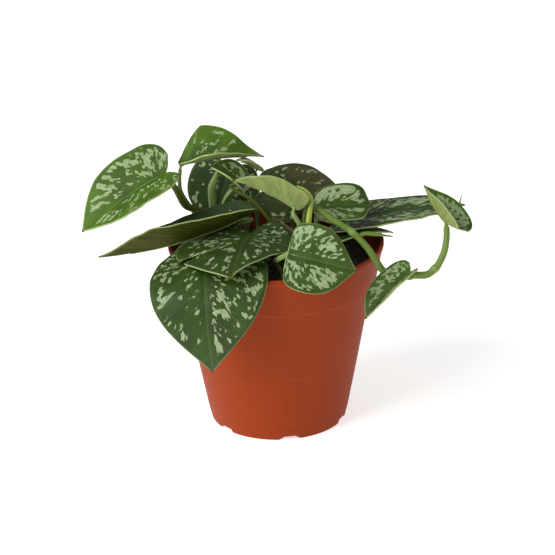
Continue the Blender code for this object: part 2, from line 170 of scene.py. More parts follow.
# The petiole of each leaf: where it leaves the soil, its radii and the points it passes.
PETIOLES = {
    "far_left": dict(
        soil=(-26, -3), radii=(2.1, 1.9, 1.4), finish="stem_olive",
        via=[(-29.5, -2, 96), (-36.5, 1, 106.5), (-43.5, -1.5, 111.2), (-47.8, -5.5, 121.5)]),
    "top": dict(
        soil=(-34, 9), radii=(1.3, 0.9),
        via=[(-36.5, 8.5, 98), (-41, 7, 106.5), (-45.7, 5, 116.5)]),
    "long_left": dict(
        soil=(-17, -3), radii=(1.4, 1.0), via=[(-17.8, -4, 95), (-17.4, -4.5, 101.5)]),
    "front_big": dict(soil=(-18, -14), radii=(1.6, 1.4), via=[(-21, -17, 88)]),
    "front_torn": dict(soil=(-8, -12), radii=(1.4, 1.2), via=[(-9.5, -14, 92)]),
    "front_heart": dict(
        soil=(2, -25), radii=(1.5, 1.2), via=[(0, -28, 90), (-0.5, -36, 95), (1.5, -44, 99.5)]),
    "pale_underside": dict(soil=(8, -18), radii=(1.5, 1.3), via=[(11, -21, 95), (12, -22, 106)]),
    "small_centre": dict(
        soil=(3, -4), radii=(1.1, 0.8), finish="stem_olive",
        via=[(0.5, -4, 97), (-3.2, -4, 104), (-11.1, -4, 113.9)]),
    "back_brown": dict(soil=(-2, 17), radii=(1.5, 1.3), via=[(-3, 22, 94)]),
    "right_round": dict(soil=(20, 2), radii=(1.4, 1.2), via=[(20, 0, 98)]),
    "right_long": dict(soil=(26, 9), radii=(1.4, 1.2), via=[(29, 7, 88)]),
    "right_tucked": dict(soil=(25, -8), radii=(1.1, 0.9), via=[(28, -8, 88)]),
    "back_left": dict(soil=(-16, 17), radii=(1.6, 1.3), via=[(-14, 19, 94), (-17, 23.5, 108)]),
    "centre_dark": dict(
        soil=(-4, 2), radii=(1.3, 1.0), via=[(-3.6, 2, 96), (-1, 1.5, 101.5), (4, 3.5, 103.7)]),
    "back_sliver": dict(soil=(-9, 31), radii=(1.1, 0.9), via=[(-9, 36, 94), (-8.5, 42, 105)]),
    "rear_drooping": dict(soil=(8, 24), radii=(1.5, 1.2), via=[(8, 29, 90)]),
    "rear_left": dict(soil=(-19, 23), radii=(1.3, 1.1), via=[(-21, 25.5, 88)]),
    "rear_right": dict(soil=(26, 19), radii=(1.3, 1.1), via=[(28, 22, 88)]),
    "vine_tip": dict(
        radii=(1.9, 1.7, 1.5), finish="stem_vine",
        via=[(75.3, -28.5, 86.7), (76.65, -27.85, 88), (79.7, -25.5, 93.6), (81, -23.3, 99.5)]),
    "vine_hanging": dict(
        radii=(1.4, 1.2), finish="stem_vine", via=[(64.1, -30.4, 84.3), (63.5, -33.9, 85)]),
}

VINE = dict(
    soil=(14, -2), radii=(1.6, 1.5, 1.5, 1.75, 1.7), finish="stem_vine",
    via=[(14.5, -5, 97), (14.5, -10, 108), (18, -14.5, 113.8), (28.2, -20, 108.6), (36.2, -23, 104),
         (42.6, -27, 98.3), (46.5, -30, 93.3), (50.8, -31, 87), (57.7, -30.5, 83.8),
         (64.3, -30, 84.2), (71.4, -30, 84.4), (75.9, -28.2, 87.2)],
    nodes=[(36.2, -23, 104), (64.3, -30, 84.2), (75.2, -28.5, 86.7)])

# Young growth with no blade of its own yet: points from its foot to its tip.
SHOOTS = {
    "shoot_bright": dict(
        soil=(15.5, -18), radii=(1.5, 1.3, 0.5), finish="shoot_bright_green",
        via=[(15.5, -20, 95), (15.5, -21, 106.7), (16.4, -20, 113.9), (17, -19, 119.6),
             (14.7, -18, 123.3), (10.5, -16, 125.1)]),
    "shoot_winged": dict(
        soil=(-28, 8), radii=(1.9, 1.7, 2.0, 0.5), finish="shoot_pale_green",
        via=[(-29.6, 7, 98), (-30.2, 6, 107.6), (-30.4, 5, 117), (-28.6, 3, 123.5), (-27, 1, 128)]),
    "shoot_spear": dict(
        radii=(0.8, 1.0, 0.2), finish="shoot_pale_green",
        via=[(86.3, -4, 99.6), (87.8, -3, 105.4), (89.7, -2, 113.8)]),
    "bud_vine": dict(
        radii=(1.0, 1.15, 0.3), finish="stem_vine",
        via=[(39.5, -24, 102.2), (42.3, -22.8, 103), (48, -23, 102.5), (55.5, -23.5, 101.6)]),
    "bud_left": dict(
        radii=(0.7, 1.0, 0.7), finish="shoot_pale_green",
        via=[(-18.2, -3.8, 95), (-20.2, -2.5, 97), (-20.8, -3, 100.5), (-22.5, -3.5, 103.5)]),
}

# Thin papery sheaths, shaped as narrow blades.
SHEATHS = {
    "sheath_pale": dict(
        base=(-26.5, 3, 102), tip=(-17, 2.5, 118.5), halves=(4.5, 4.5), folds=(35, 35), arch=1,
        lobe=0, notch=0.3, wide=0.6, full=(0.6, 0.6), finish="sheath_pale_green"),
    "sheath_dry": dict(
        base=(9.5, -5.8, 97.3), tip=(2.2, -6, 104.5), halves=(1.8, 1.8), folds=(20, 20), arch=-1,
        lobe=0, notch=0.3, wide=0.5, finish="sheath_dry_brown"),
}


# ---- settings ----

def colour(name, description, default):
    return FloatVectorProperty(
        name=name, description=description, subtype="COLOR", size=3, min=0, max=1, default=default)


def length(name, description, default):
    return FloatProperty(
        name=name, description=description, unit="LENGTH", subtype="DISTANCE", min=0,
        default=default)


def count(name, description, default, least=0):
    return IntProperty(name=name, description=description, min=least, default=default)


class PotSettings(bpy.types.PropertyGroup):
    """The moulded nursery pot"""
    height: length("Height", "Height of the pot", POT_HIGH.z)
    rim_radius: length("Rim radius", "Outer radius at the rim", POT_HIGH.x)
    band_height: length("Band height", "Height of the band around the rim", 0.020)
    band_foot_radius: length("Band foot radius", "Outer radius at the foot of the band", 0.0485)
    step_depth: length("Step depth", "How far the band stands out from the wall", 0.0014)
    base_radius: length("Base radius", "Outer radius of the foot", 0.0337)
    wall: length("Wall", "Thickness of the wall", 0.0012)
    foot_height: length("Foot height", "Height of the foot ring", 0.003)
    foot_width: length("Foot width", "Width of the foot ring", 0.0026)
    floor: length("Floor", "Thickness of the floor", 0.0014)
    notches: count("Notches", "Drain notches in the foot ring", 6)
    notch_width: length("Notch width", "Width of each drain notch", 0.009)
    notch_height: length("Notch height", "Height of each drain notch", 0.0018)
    drains: count("Drains", "Holes in the floor", 6)
    plastic: colour("Plastic", "Terracotta colour of the plastic", (0.272, 0.035, 0.003))
    dust: colour("Dust", "Pale scuffs on the plastic", (0.46, 0.11, 0.035))


class SoilSettings(bpy.types.PropertyGroup):
    """The potting soil"""
    roughness: length("Roughness", "Height of the lumps on the surface", 0.0014)
    crumbs: count("Crumbs", "Loose crumbs on top", 420)
    crumb_size: length("Crumb size", "Radius of the largest crumbs", 0.0017)
    dark: colour("Dark soil", "Colour of the wet soil", (0.016, 0.008, 0.005))
    light: colour("Light soil", "Colour of its fibres", (0.075, 0.040, 0.024))


class LeafSettings(bpy.types.PropertyGroup):
    """The leaf blades"""
    thickness: length("Thickness", "Thickness of a blade", 0.0007)
    rows: count("Rows", "Faces along a blade", 46, least=8)
    lanes: count("Lanes", "Faces across a blade", 32, least=6)
    vein_spacing: length("Vein spacing", "Distance between side veins", VEIN_SPACING * MM)
    cell_length: length("Cell length", "Length of a silver cell along the veins", 0.0014)
    cell_width: length("Cell width", "Width of a silver cell", 0.0009)
    patch: length("Patch", "Size of a silver blotch", 0.0025)
    dark: colour("Old green", "Green of the old leaves", (0.021, 0.045, 0.005))
    fresh: colour("Young green", "Green of the young leaves", (0.074, 0.168, 0.004))
    silver: colour("Silver", "Silver of the blotches", (0.36, 0.46, 0.25))
    margin: colour("Margin", "Pale line around each blade", (0.32, 0.42, 0.15))
    underside: colour("Underside", "Pale green of the undersides", (0.244, 0.314, 0.090))
    olive: colour("Old underside", "Olive of old undersides", (0.060, 0.069, 0.001))
    brown: colour("Brown", "Tan that old leaves take on", (0.10, 0.075, 0.035))
    dry_tip: colour("Dry tip", "Dry brown of the tips", (0.085, 0.030, 0.010))


class StemSettings(bpy.types.PropertyGroup):
    """The petioles, the vine and the young shoots"""
    sides: count("Sides", "Faces around a stem", 18, least=6)
    pale: colour("Petiole", "Green of most petioles", (0.23, 0.32, 0.10))
    olive: colour("Old petiole", "Olive of the old petioles", (0.105, 0.145, 0.012))
    vine: colour("Vine", "Green of the vine", (0.150, 0.235, 0.040))
    bright: colour("Shoot", "Yellow-green of the newest shoot", (0.40, 0.52, 0.07))
    dry: colour("Dry sheath", "Colour of the dried sheath", (0.27, 0.20, 0.10))


class StageSettings(bpy.types.PropertyGroup):
    """Floor, light and camera"""
    floor: colour("Floor", "Colour of the floor", (0.93, 0.93, 0.93))
    distance: length("Distance", "Camera distance from the plant", 1.1)
    height: length("Aim", "Height that the camera aims at", 0.072)
    elevation: FloatProperty(
        name="Elevation", description="Camera angle above the horizon", subtype="ANGLE",
        default=math.radians(22.2))
    roll: FloatProperty(
        name="Roll", description="Camera turn about its view", subtype="ANGLE",
        default=math.radians(-1.0))
    lens: FloatProperty(
        name="Lens", description="Focal length in millimetres", min=20, default=145.95)
    key: FloatProperty(name="Key light", description="Power of the key light", default=26.0)
    fill: FloatProperty(name="Fill light", description="Power of the fill light", default=0.8)
    sky: FloatProperty(name="Sky", description="Strength of the even light", default=0.32)


class PothosSettings(bpy.types.PropertyGroup):
    """Everything that can be set on the potted pothos"""
    pot: PointerProperty(type=PotSettings, name="Pot", description="The nursery pot")
    soil: PointerProperty(type=SoilSettings, name="Soil", description="The potting soil")
    leaf: PointerProperty(type=LeafSettings, name="Leaves", description="The leaf blades")
    stem: PointerProperty(type=StemSettings, name="Stems", description="Petioles and vine")
    stage: PointerProperty(type=StageSettings, name="Stage", description="Floor and light")


# ---- shader building ----

class Wire:
    """An output of a shader tree. Sums written with wires add their Math nodes."""

    def __init__(self, finish, socket):
        self.finish = finish
        self.socket = socket

    def maths(self, operation, *values):
        return self.finish.node(
            "ShaderNodeMath", {"operation": operation}, dict(enumerate(values)))

    def __add__(self, other):
        return self.maths("ADD", self, other)

    def __radd__(self, other):
        return self.maths("ADD", other, self)

    def __sub__(self, other):
        return self.maths("SUBTRACT", self, other)

    def __rsub__(self, other):
        return self.maths("SUBTRACT", other, self)

    def __mul__(self, other):
        return self.maths("MULTIPLY", self, other)

    def __truediv__(self, other):
        return self.maths("DIVIDE", self, other)

    def __abs__(self):
        return self.maths("ABSOLUTE", self)

    def fraction(self):
        return self.maths("FRACT", self)


class Finish:
    """One material as it is being built."""

    def __init__(self, name):
        self.material = bpy.data.materials.new(name)
        self.material.use_nodes = True
        self.tree = self.material.node_tree
        self.shader = self.tree.nodes["Principled BSDF"]

    def node(self, kind, settings=None, values=None, output=0):
        """A node of this type: its settings are set first, then its sockets are given or linked."""
        node = self.tree.nodes.new(kind)
        for key, value in (settings or {}).items():
            setattr(node, key, value)
        for key, value in (values or {}).items():
            self.feed(node.inputs[key], value)
        return Wire(self, node.outputs[output])

    def feed(self, socket, value):
        if isinstance(value, Wire):
            self.tree.links.new(value.socket, socket)
        elif socket.type == "RGBA" and len(value) == 3:
            socket.default_value = (*value, 1.0)
        else:
            socket.default_value = value

    def surface(self, **values):
        """Gives or links the shader's own sockets, named with _ for each space."""
        for key, value in values.items():
            self.feed(self.shader.inputs[key.replace("_", " ")], value)
        return self.material

    def vector(self, attribute):
        return self.node(
            "ShaderNodeAttribute", {"attribute_name": attribute}, output="Vector")

    def number(self, attribute):
        return self.node("ShaderNodeAttribute", {"attribute_name": attribute}, output="Fac")

    def split(self, vector):
        return [self.node("ShaderNodeSeparateXYZ", {}, {0: vector}, output=i) for i in range(3)]

    def join(self, x, y, z):
        return self.node("ShaderNodeCombineXYZ", {}, {0: x, 1: y, 2: z})

    def place(self):
        """Object coordinates in millimetres."""
        spot = self.node("ShaderNodeTexCoord", output="Object")
        return self.node(
            "ShaderNodeVectorMath", {"operation": "SCALE"}, {"Vector": spot, "Scale": 1 / MM})

    def cloud(self, spot, scale, detail=2.0, rough=0.5):
        return self.node(
            "ShaderNodeTexNoise", {},
            {"Vector": spot, "Scale": scale, "Detail": detail, "Roughness": rough})

    def cells(self, spot, scale, feature="F1", output="Distance"):
        return self.node(
            "ShaderNodeTexVoronoi", {"feature": feature}, {"Vector": spot, "Scale": scale},
            output=output)

    def step(self, value, low, high):
        """0 below low, 1 above high and a soft step between."""
        return self.node(
            "ShaderNodeMapRange", {"interpolation_type": "SMOOTHSTEP"},
            {"Value": value, "From Min": low, "From Max": high})

    def blend(self, share, first, second):
        return self.node(
            "ShaderNodeMix", {"data_type": "RGBA"}, {0: share, 6: first, 7: second}, output=2)

    def bump(self, height, strength, distance):
        return self.node(
            "ShaderNodeBump", {}, {"Height": height, "Strength": strength, "Distance": distance})


def shade(tone, factor):
    return tuple(c * factor for c in tone)


def finished(build):
    """The material named as its function, built the first time it is asked for."""
    name = build.__name__
    return bpy.data.materials.get(name) or build(name)


def pot_plastic(name):
    pot = bpy.context.scene.pothos.pot
    f = Finish(name)
    spot = f.place()
    x, y, z = f.split(spot)
    broad = f.cloud(spot, 0.035, detail=3)
    smear = f.cloud(f.join(x * 0.4, y * 0.4, z * 1.6), 0.12, detail=4, rough=0.6)
    scuffs = f.step(smear, 0.60, 0.74) * f.step(broad, 0.42, 0.62) * 0.22
    grime = f.step(f.cloud(spot, 0.09, detail=4, rough=0.65), 0.55, 0.75) * 0.25
    tone = f.blend(scuffs, pot.plastic, pot.dust)
    tone = f.blend(grime, tone, shade(pot.plastic, 0.55))
    grain = f.cloud(spot, 3.2, detail=2)
    rings = f.cloud(f.join(0.0, 0.0, z), 1.4, detail=2)
    height = grain * 0.5 + rings * 0.35 + f.cloud(spot, 0.5, detail=1) * 0.3
    return f.surface(
        Base_Color=tone, Roughness=0.50 + broad * 0.14 + scuffs * 0.3,
        Normal=f.bump(height, 0.22, 0.0002), Specular_IOR_Level=0.12)


def soil_compost(name):
    soil = bpy.context.scene.pothos.soil
    f = Finish(name)
    spot = f.place()
    lumps = f.cloud(spot, 0.45, detail=5, rough=0.65)
    fibres = f.cells(f.join(*[p * s for p, s in zip(f.split(spot), (0.5, 1.7, 1.0))]), 0.6)
    pale = f.step(fibres, 0.75, 0.95) * f.step(f.cloud(spot, 0.3), 0.45, 0.6)
    tone = f.blend(f.step(lumps, 0.4, 0.75), soil.dark, shade(soil.light, 0.55))
    tone = f.blend(pale * 0.6, tone, soil.light)
    return f.surface(
        Base_Color=tone, Roughness=0.95 - lumps * 0.1,
        Normal=f.bump(lumps + f.cloud(spot, 2.2, detail=3) * 0.5, 0.9, 0.0012))


def leaf_upper(name):
    leaf = bpy.context.scene.pothos.leaf
    f = Finish(name)
    along, aside, seed = f.split(f.vector("leaf_map"))
    young, silver, brown = f.split(f.vector("leaf_look"))
    edge = f.number("leaf_edge")
    tip = f.number("leaf_tip")
    spot = f.place()

    veins = abs((along / (leaf.vein_spacing / MM)).fraction() - 0.5) * 2.0
    vein = f.step(veins, 0.80, 1.0)
    midrib = 1.0 - f.step(abs(aside), 0.15, 0.7)

    # Silver fills small angular cells, drawn out along the side veins. Whole cells turn silver
    # together in blotches, which keep off the midrib and off the margin.
    lane = f.join(along / (leaf.cell_width / MM), aside / (leaf.cell_length / MM), seed)
    cell_u, cell_v, _ = f.split(f.cells(lane, 1.0, output="Position"))
    reach = (2.0 + silver * 0.9) / (leaf.patch / MM)
    middle = f.join(
        cell_u * (leaf.cell_width / MM) * reach,
        cell_v * (leaf.cell_length / MM) * reach * 0.62, seed)
    patch = f.cloud(middle, 0.5, detail=3, rough=0.72)
    flat = f.join(along, aside, seed)
    drift = f.cloud(flat, 0.085, detail=1)
    clear = f.step(abs(aside), 1.3, 3.2) * f.step(edge, 0.6, 1.8)
    level = patch + silver * 0.20 + (drift - 0.5) * 0.30 + (clear - 1.0) * 0.2
    blotch = f.step(level, 0.655, 0.668)
    frayed = f.cloud(f.join(along * 2.3, aside * 1.3, seed), 1.0, detail=2)
    blotch = blotch * (1.0 - f.step(frayed, 0.60, 0.64) * 0.8)
    dusting = f.step(level, 0.56, 0.70) * f.step(frayed, 0.48, 0.6) * 0.10

    broad = f.cloud(flat, 0.10, detail=2)
    green = f.blend(young, leaf.dark, leaf.fresh)
    green = f.blend(f.step(broad, 0.35, 0.7) * 0.5, green, shade(leaf.dark, 0.6))
    green = f.blend(brown * f.step(broad, 0.3, 0.65) * 0.75, green, leaf.brown)
    green = f.blend(vein * 0.035 + dusting, green, leaf.margin)
    green = f.blend(midrib * (0.05 + young * 0.16), green, leaf.margin)
    tint = f.step(f.cloud(middle, 1.3), 0.3, 0.7)
    pale = f.blend(tint, leaf.silver, shade(leaf.silver, 0.7))
    pale = f.blend(young * 0.35, pale, leaf.margin)
    tone = f.blend(blotch * 0.94, green, pale)
    tone = f.blend((1.0 - f.step(edge, 0.12, 0.42)) * (0.30 + young * 0.5), tone, leaf.margin)
    tone = f.blend(f.step(tip, 0.2, 0.8), tone, leaf.dry_tip)

    pores = f.cloud(spot, 2.6, detail=2)
    height = pores * 0.4 - vein * 0.35 + blotch * 0.2 + broad
    return f.surface(
        Base_Color=tone, Roughness=0.50 - blotch * 0.05 + pores * 0.08,
        Normal=f.bump(height, 0.45, 0.00025), Specular_IOR_Level=0.28,
        Subsurface_Weight=0.04, Subsurface_Scale=0.001)


def leaf_under(name):
    leaf = bpy.context.scene.pothos.leaf
    f = Finish(name)
    along, aside, seed = f.split(f.vector("leaf_map"))
    olive = f.number("leaf_olive")
    edge = f.number("leaf_edge")
    tip = f.number("leaf_tip")
    veins = abs((along / (leaf.vein_spacing / MM)).fraction() - 0.5) * 2.0
    vein = f.step(veins, 0.74, 1.0)
    net = f.cells(f.join(along * 1.1, aside * 0.8, seed), 1.0, feature="DISTANCE_TO_EDGE")
    mesh = 1.0 - f.step(net, 0.02, 0.14)
    streak = f.cloud(f.join(along * 0.5, aside * 0.16, seed), 1.0, detail=3)
    tone = f.blend(olive, leaf.underside, leaf.olive)
    deep = f.blend(olive, shade(leaf.underside, 0.62), shade(leaf.olive, 0.42))
    tone = f.blend(f.step(streak, 0.38, 0.68) * 0.7, tone, deep)
    tone = f.blend((vein * 0.14 + mesh * 0.05) * (1.0 - olive * 0.75), tone, leaf.margin)
    tone = f.blend(
        (1.0 - f.step(edge, 0.15, 0.55)) * (0.6 - olive * 0.45), tone, leaf.margin)
    tone = f.blend(f.step(tip, 0.2, 0.8), tone, leaf.dry_tip)
    height = vein * 0.6 + mesh * 0.2 + f.cloud(f.place(), 2.6) * 0.3
    return f.surface(
        Base_Color=tone, Roughness=0.58 + streak * 0.1,
        Normal=f.bump(height, 0.5, 0.0002), Specular_IOR_Level=0.22,
        Subsurface_Weight=0.06, Subsurface_Scale=0.001)


def leaf_rim(name):
    leaf = bpy.context.scene.pothos.leaf
    f = Finish(name)
    patches = f.step(f.cloud(f.place(), 0.6), 0.4, 0.65)
    tone = f.blend(patches, leaf.margin, shade(leaf.margin, 0.8))
    tone = f.blend(f.step(f.number("leaf_tip"), 0.2, 0.8), tone, leaf.dry_tip)
    return f.surface(Base_Color=tone, Roughness=0.5)


def stem_skin(name, tone, spot_tone, bleach):
    """Skin of a stem: fine lengthwise streaks, small flecks and a paler tone at its joints."""
    f = Finish(name)
    along, ring_x, ring_y = f.split(f.vector("stem_map"))
    streak = f.cloud(f.join(along * 0.12, ring_x * 2.6, ring_y * 2.6), 1.0, detail=3)
    flecks = f.step(f.cloud(f.join(along * 0.9, ring_x * 3, ring_y * 3), 1.0, detail=2), 0.62, 0.7)
    skin = f.blend(f.step(streak, 0.35, 0.7) * 0.5, tone, spot_tone)
    skin = f.blend(flecks * 0.3, skin, bleach)
    skin = f.blend(f.number("stem_joint"), skin, bleach)
    height = streak * 0.7 + f.cloud(f.place(), 2.4) * 0.25
    return f.surface(
        Base_Color=skin, Roughness=0.42 + streak * 0.12,
        Normal=f.bump(height, 0.4, 0.0003), Specular_IOR_Level=0.3,
        Subsurface_Weight=0.10, Subsurface_Scale=0.0015)


def stem_finish(name):
    """The skin that a stem's entry names, built the first time it is asked for."""
    stem = bpy.context.scene.pothos.stem
    tones = {
        "stem_petiole": stem.pale,
        "stem_olive": stem.olive,
        "stem_vine": stem.vine,
        "shoot_bright_green": stem.bright,
        "shoot_pale_green": shade(stem.pale, 1.1),
        "sheath_pale_green": shade(stem.pale, 1.2),
        "sheath_dry_brown": stem.dry,
    }
    tone = tuple(tones[name])
    bleach = tuple(min(c * 1.5 + 0.05, 1) for c in tone)
    return bpy.data.materials.get(name) or stem_skin(name, tone, shade(tone, 0.62), bleach)


def stage_floor(name):
    stage = bpy.context.scene.pothos.stage
    f = Finish(name)
    spot = f.place()
    haze = f.cloud(spot, 0.004, detail=2)
    tone = f.blend(haze * 0.3, stage.floor, shade(stage.floor, 0.985))
    return f.surface(
        Base_Color=tone, Roughness=0.9, Emission_Color=(1.0, 1.0, 1.0, 1.0), Emission_Strength=0.62)


# ---- pieces ----

def to_piece(name, bm, materials, node=None, smooth=True):
    """A finished piece at the origin, riding on the plant's one body."""
    mesh = bpy.data.meshes.new(name)
    bm.to_mesh(mesh)
    bm.free()
    for material in materials:
        mesh.materials.append(material)
    if smooth:
        mesh.shade_smooth()
    piece = bpy.data.objects.new(name, mesh)
    bpy.context.scene.collection.objects.link(piece)
    if node:
        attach(piece, "root")
        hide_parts(node)
    return piece


def lathe(bm, profile, steps):
    """Spins a profile of (radius, height) points about Z."""
    verts = [bm.verts.new((r, 0, z)) for r, z in profile]
    edges = [bm.edges.new(pair) for pair in zip(verts, verts[1:])]
    bmesh.ops.spin(
        bm, geom=[*verts, *edges], cent=(0, 0, 0), axis=(0, 0, 1), dvec=(0, 0, 0),
        angle=math.tau, steps=steps, use_merge=True)
    bmesh.ops.remove_doubles(bm, verts=bm.verts[:], dist=0.00001)
    bmesh.ops.recalc_face_normals(bm, faces=bm.faces[:])


def rounded(corners, spans=4):
    """A profile with each corner given as (radius, height, rounding) turned into a small arc."""
    points = []
    for i, (r, z, rounding) in enumerate(corners):
        here = Vector((r, z))
        if not rounding or i in (0, len(corners) - 1):
            points.append(tuple(here))
            continue
        before = Vector(corners[i - 1][:2]) - here
        after = Vector(corners[i + 1][:2]) - here
        reach = min(rounding, before.length * 0.45, after.length * 0.45)
        start = here + before.normalized() * reach
        end = here + after.normalized() * reach
        for j in range(spans + 1):
            t = j / spans
            points.append(tuple((1 - t) ** 2 * start + 2 * t * (1 - t) * here + t * t * end))
    return points


def pot_piece():
    pot = bpy.context.scene.pothos.pot
    band_foot = pot.height - pot.band_height
    floor_top = pot.foot_height + pot.floor
    wall_top = pot.band_foot_radius - pot.step_depth

    def wall_radius(z):
        return pot.base_radius + (wall_top - pot.base_radius) * z / band_foot

    inside = pot.base_radius - pot.foot_width
    profile = rounded([
        (0, floor_top, 0),
        (wall_radius(floor_top) - pot.wall, floor_top, 0.002),
        (wall_radius(band_foot) - pot.wall, band_foot, 0.0008),
        (pot.band_foot_radius + 0.0003 - pot.wall, band_foot + pot.wall, 0.0008),
        (pot.rim_radius - pot.wall - 0.0002, pot.height, 0.0005),
        (pot.rim_radius, pot.height, 0.0006),
        (pot.rim_radius - 0.0001, pot.height - LIP_HEIGHT, 0.0004),
        (pot.rim_radius - LIP_DEPTH, pot.height - LIP_HEIGHT - 0.0005, 0.0004),
        (pot.band_foot_radius, band_foot, 0.0007),
        (wall_radius(band_foot - 0.0006), band_foot - 0.0006, 0.0006),
        (wall_radius(FOOT_BEND), FOOT_BEND, 0.004),
        (pot.base_radius - 0.0003, 0, 0.0006),
        (inside, 0, 0.0005),
        (inside, pot.foot_height, 0.0006),
        (0, pot.foot_height, 0),
    ])
    long_wall = []
    for first, second in zip(profile, profile[1:]):
        long_wall.append(first)
        spans = int((Vector(second) - Vector(first)).length / WALL_SPAN)
        for i in range(1, spans):
            long_wall.append(tuple(Vector(first).lerp(Vector(second), i / spans)))
    long_wall.append(profile[-1])

    bm = bmesh.new()
    lathe(bm, long_wall, POT_STEPS)
    span = pot.notch_width / pot.base_radius / 2
    for vert in bm.verts:
        angle = math.atan2(vert.co.y, vert.co.x)
        reach = math.hypot(vert.co.x, vert.co.y)
        turn = (angle - FIRST_NOTCH) % (math.tau / pot.notches)
        turn = min(turn, math.tau / pot.notches - turn)
        if reach > inside - 0.001 and vert.co.z < pot.notch_height and turn < span:
            share = min((span - turn) / (span * 0.2), 1)
            vert.co.z = max(vert.co.z, pot.notch_height * share)
        squash = 0.00012 * noise.noise(Vector((angle, vert.co.z * 18, 3)))
        if reach > 0.02:
            vert.co.x += squash * vert.co.x / reach
            vert.co.y += squash * vert.co.y / reach
    piece = to_piece("nursery_pot", bm, [finished(pot_plastic)], "pot")
    holes = bmesh.new()
    for i in range(pot.drains):
        angle = FIRST_NOTCH + math.tau * i / pot.drains
        spot = Matrix.Translation(
            (DRAIN_RING * math.cos(angle), DRAIN_RING * math.sin(angle),
             pot.foot_height + pot.floor / 2))
        bmesh.ops.create_cone(
            holes, cap_ends=True, segments=24, radius1=DRAIN_RADIUS, radius2=DRAIN_RADIUS,
            depth=pot.floor * 3, matrix=spot)
    drill = to_piece("drain_drill", holes, [finished(pot_plastic)], smooth=False)
    cut = piece.modifiers.new("drain_holes", "BOOLEAN")
    cut.operation = "DIFFERENCE"
    cut.solver = "EXACT"
    cut.object = drill
    graph = bpy.context.evaluated_depsgraph_get()
    drained = bpy.data.meshes.new_from_object(piece.evaluated_get(graph))
    piece.modifiers.clear()
    piece.data = drained
    bpy.data.objects.remove(drill, do_unlink=True)
    return piece


def soil_lump(spot):
    """Height of the soil's surface at a place in millimetres, as a share of its roughness."""
    return noise.fractal(spot * 0.16, 0.9, 2.1, 5) * 0.6 + noise.noise(spot * 0.055) * 0.8


def soil_piece():
    scene = bpy.context.scene.pothos
    soil, pot = scene.soil, scene.pot
    low, top = SOIL_LOW.z, SOIL_HIGH.z
    gap = 0.0001
    band_foot = pot.height - pot.band_height
    wall_top = pot.band_foot_radius - pot.step_depth - pot.wall - gap
    floor_radius = pot.base_radius + (wall_top - pot.base_radius + pot.wall) * low / band_foot
    edge = SOIL_HIGH.x
    rings = [(edge * i / SOIL_RINGS, top) for i in range(SOIL_RINGS + 1)]
    profile = [*rings, (wall_top - gap, band_foot), (floor_radius - pot.wall, low), (0, low)]
    bm = bmesh.new()
    lathe(bm, profile, SOIL_STEPS)
    for vert in bm.verts:
        if vert.co.z > top - gap:
            reach = math.hypot(vert.co.x, vert.co.y) / edge
            vert.co.z += soil.roughness * soil_lump(vert.co / MM) - SOIL_DIP * (1 - reach)
    noise.seed_set(CRUMB_SEED)  # without a seed, noise_vector starts from the clock
    shapes = []
    for i in range(soil.crumbs):
        turn = noise.cell(Vector((i, 0.5, 0.5))) * math.tau * 7.13
        far = math.sqrt(abs(noise.cell(Vector((i, 9.5, 0.5))))) * (edge - CRUMB_INSET)
        size = soil.crumb_size * (0.35 + 0.65 * abs(noise.cell(Vector((i, 0.5, 9.5)))))
        spot = Vector((far * math.cos(turn), far * math.sin(turn), 0))
        lump = soil_lump(spot / MM + Vector((0, 0, top / MM)))
        spot.z = top + soil.roughness * lump - SOIL_DIP * (1 - far / edge) + size * 0.2
        tilt = Matrix.Rotation(turn * 3, 4, (0.4, 0.3, 1))
        stretch = Matrix.Diagonal((1, 0.75, 0.6, 1))
        made = bmesh.ops.create_icosphere(
            bm, subdivisions=1, radius=size, matrix=Matrix.Translation(spot) @ tilt @ stretch)
        shapes.append(made["verts"])
    for verts in shapes:
        for vert in verts:
            vert.co += noise.noise_vector(vert.co / MM * 0.8) * 0.0004
    return to_piece("potting_soil", bm, [finished(soil_compost)], "soil")


# ---- blades ----

def cubic(points, t):
    """A point of the cubic curve with these four control points."""
    a, b, c, d = (Vector(p) for p in points)
    return (1 - t) ** 3 * a + 3 * (1 - t) ** 2 * t * b + 3 * (1 - t) * t ** 2 * c + t ** 3 * d


def margin(blade, side, share):
    """The outline of one half: share of the length and share of the half width."""
    split = 0.42
    notch, wide, full = blade["notch"], blade["wide"], blade["full"][side]
    if share < split:
        swell = (blade["shoulder"] / 2 - blade["lobe"], 0.1 + notch + 0.45 * (1 - notch))
        shoulder = (wide - 0.33 + blade["shoulder"], 1)
        return cubic([(-blade["lobe"], notch), swell, shoulder, (wide, 1)], share / split)
    fall = (wide + 0.28 + 0.18 * full, 1)
    return cubic([(wide, 1), fall, (0.8, 0.18 + 0.42 * full), (1, 0)], (share - split) / (1 - split))


def mix(a, b, share):
    return a + (b - a) * share


def blade_spot(blade, share, across):
    """Where a point lies on the flat blade: share of the length and share of the half width."""
    side = 0 if across > 0 else 1
    edge = margin(blade, side, share)
    reach = abs(across)
    ease = min(share / 0.3, 1)
    ease = ease * ease * (3 - 2 * ease)
    rib = share ** RIB_POWER
    x = rib + (edge[0] - rib) * reach ** mix(0.8, 1.25, ease)
    tip_width = 0.25 / blade["halves"][side]
    out = max(edge[1] * reach ** mix(1.7, 0.95, ease), tip_width * reach)
    return x, out


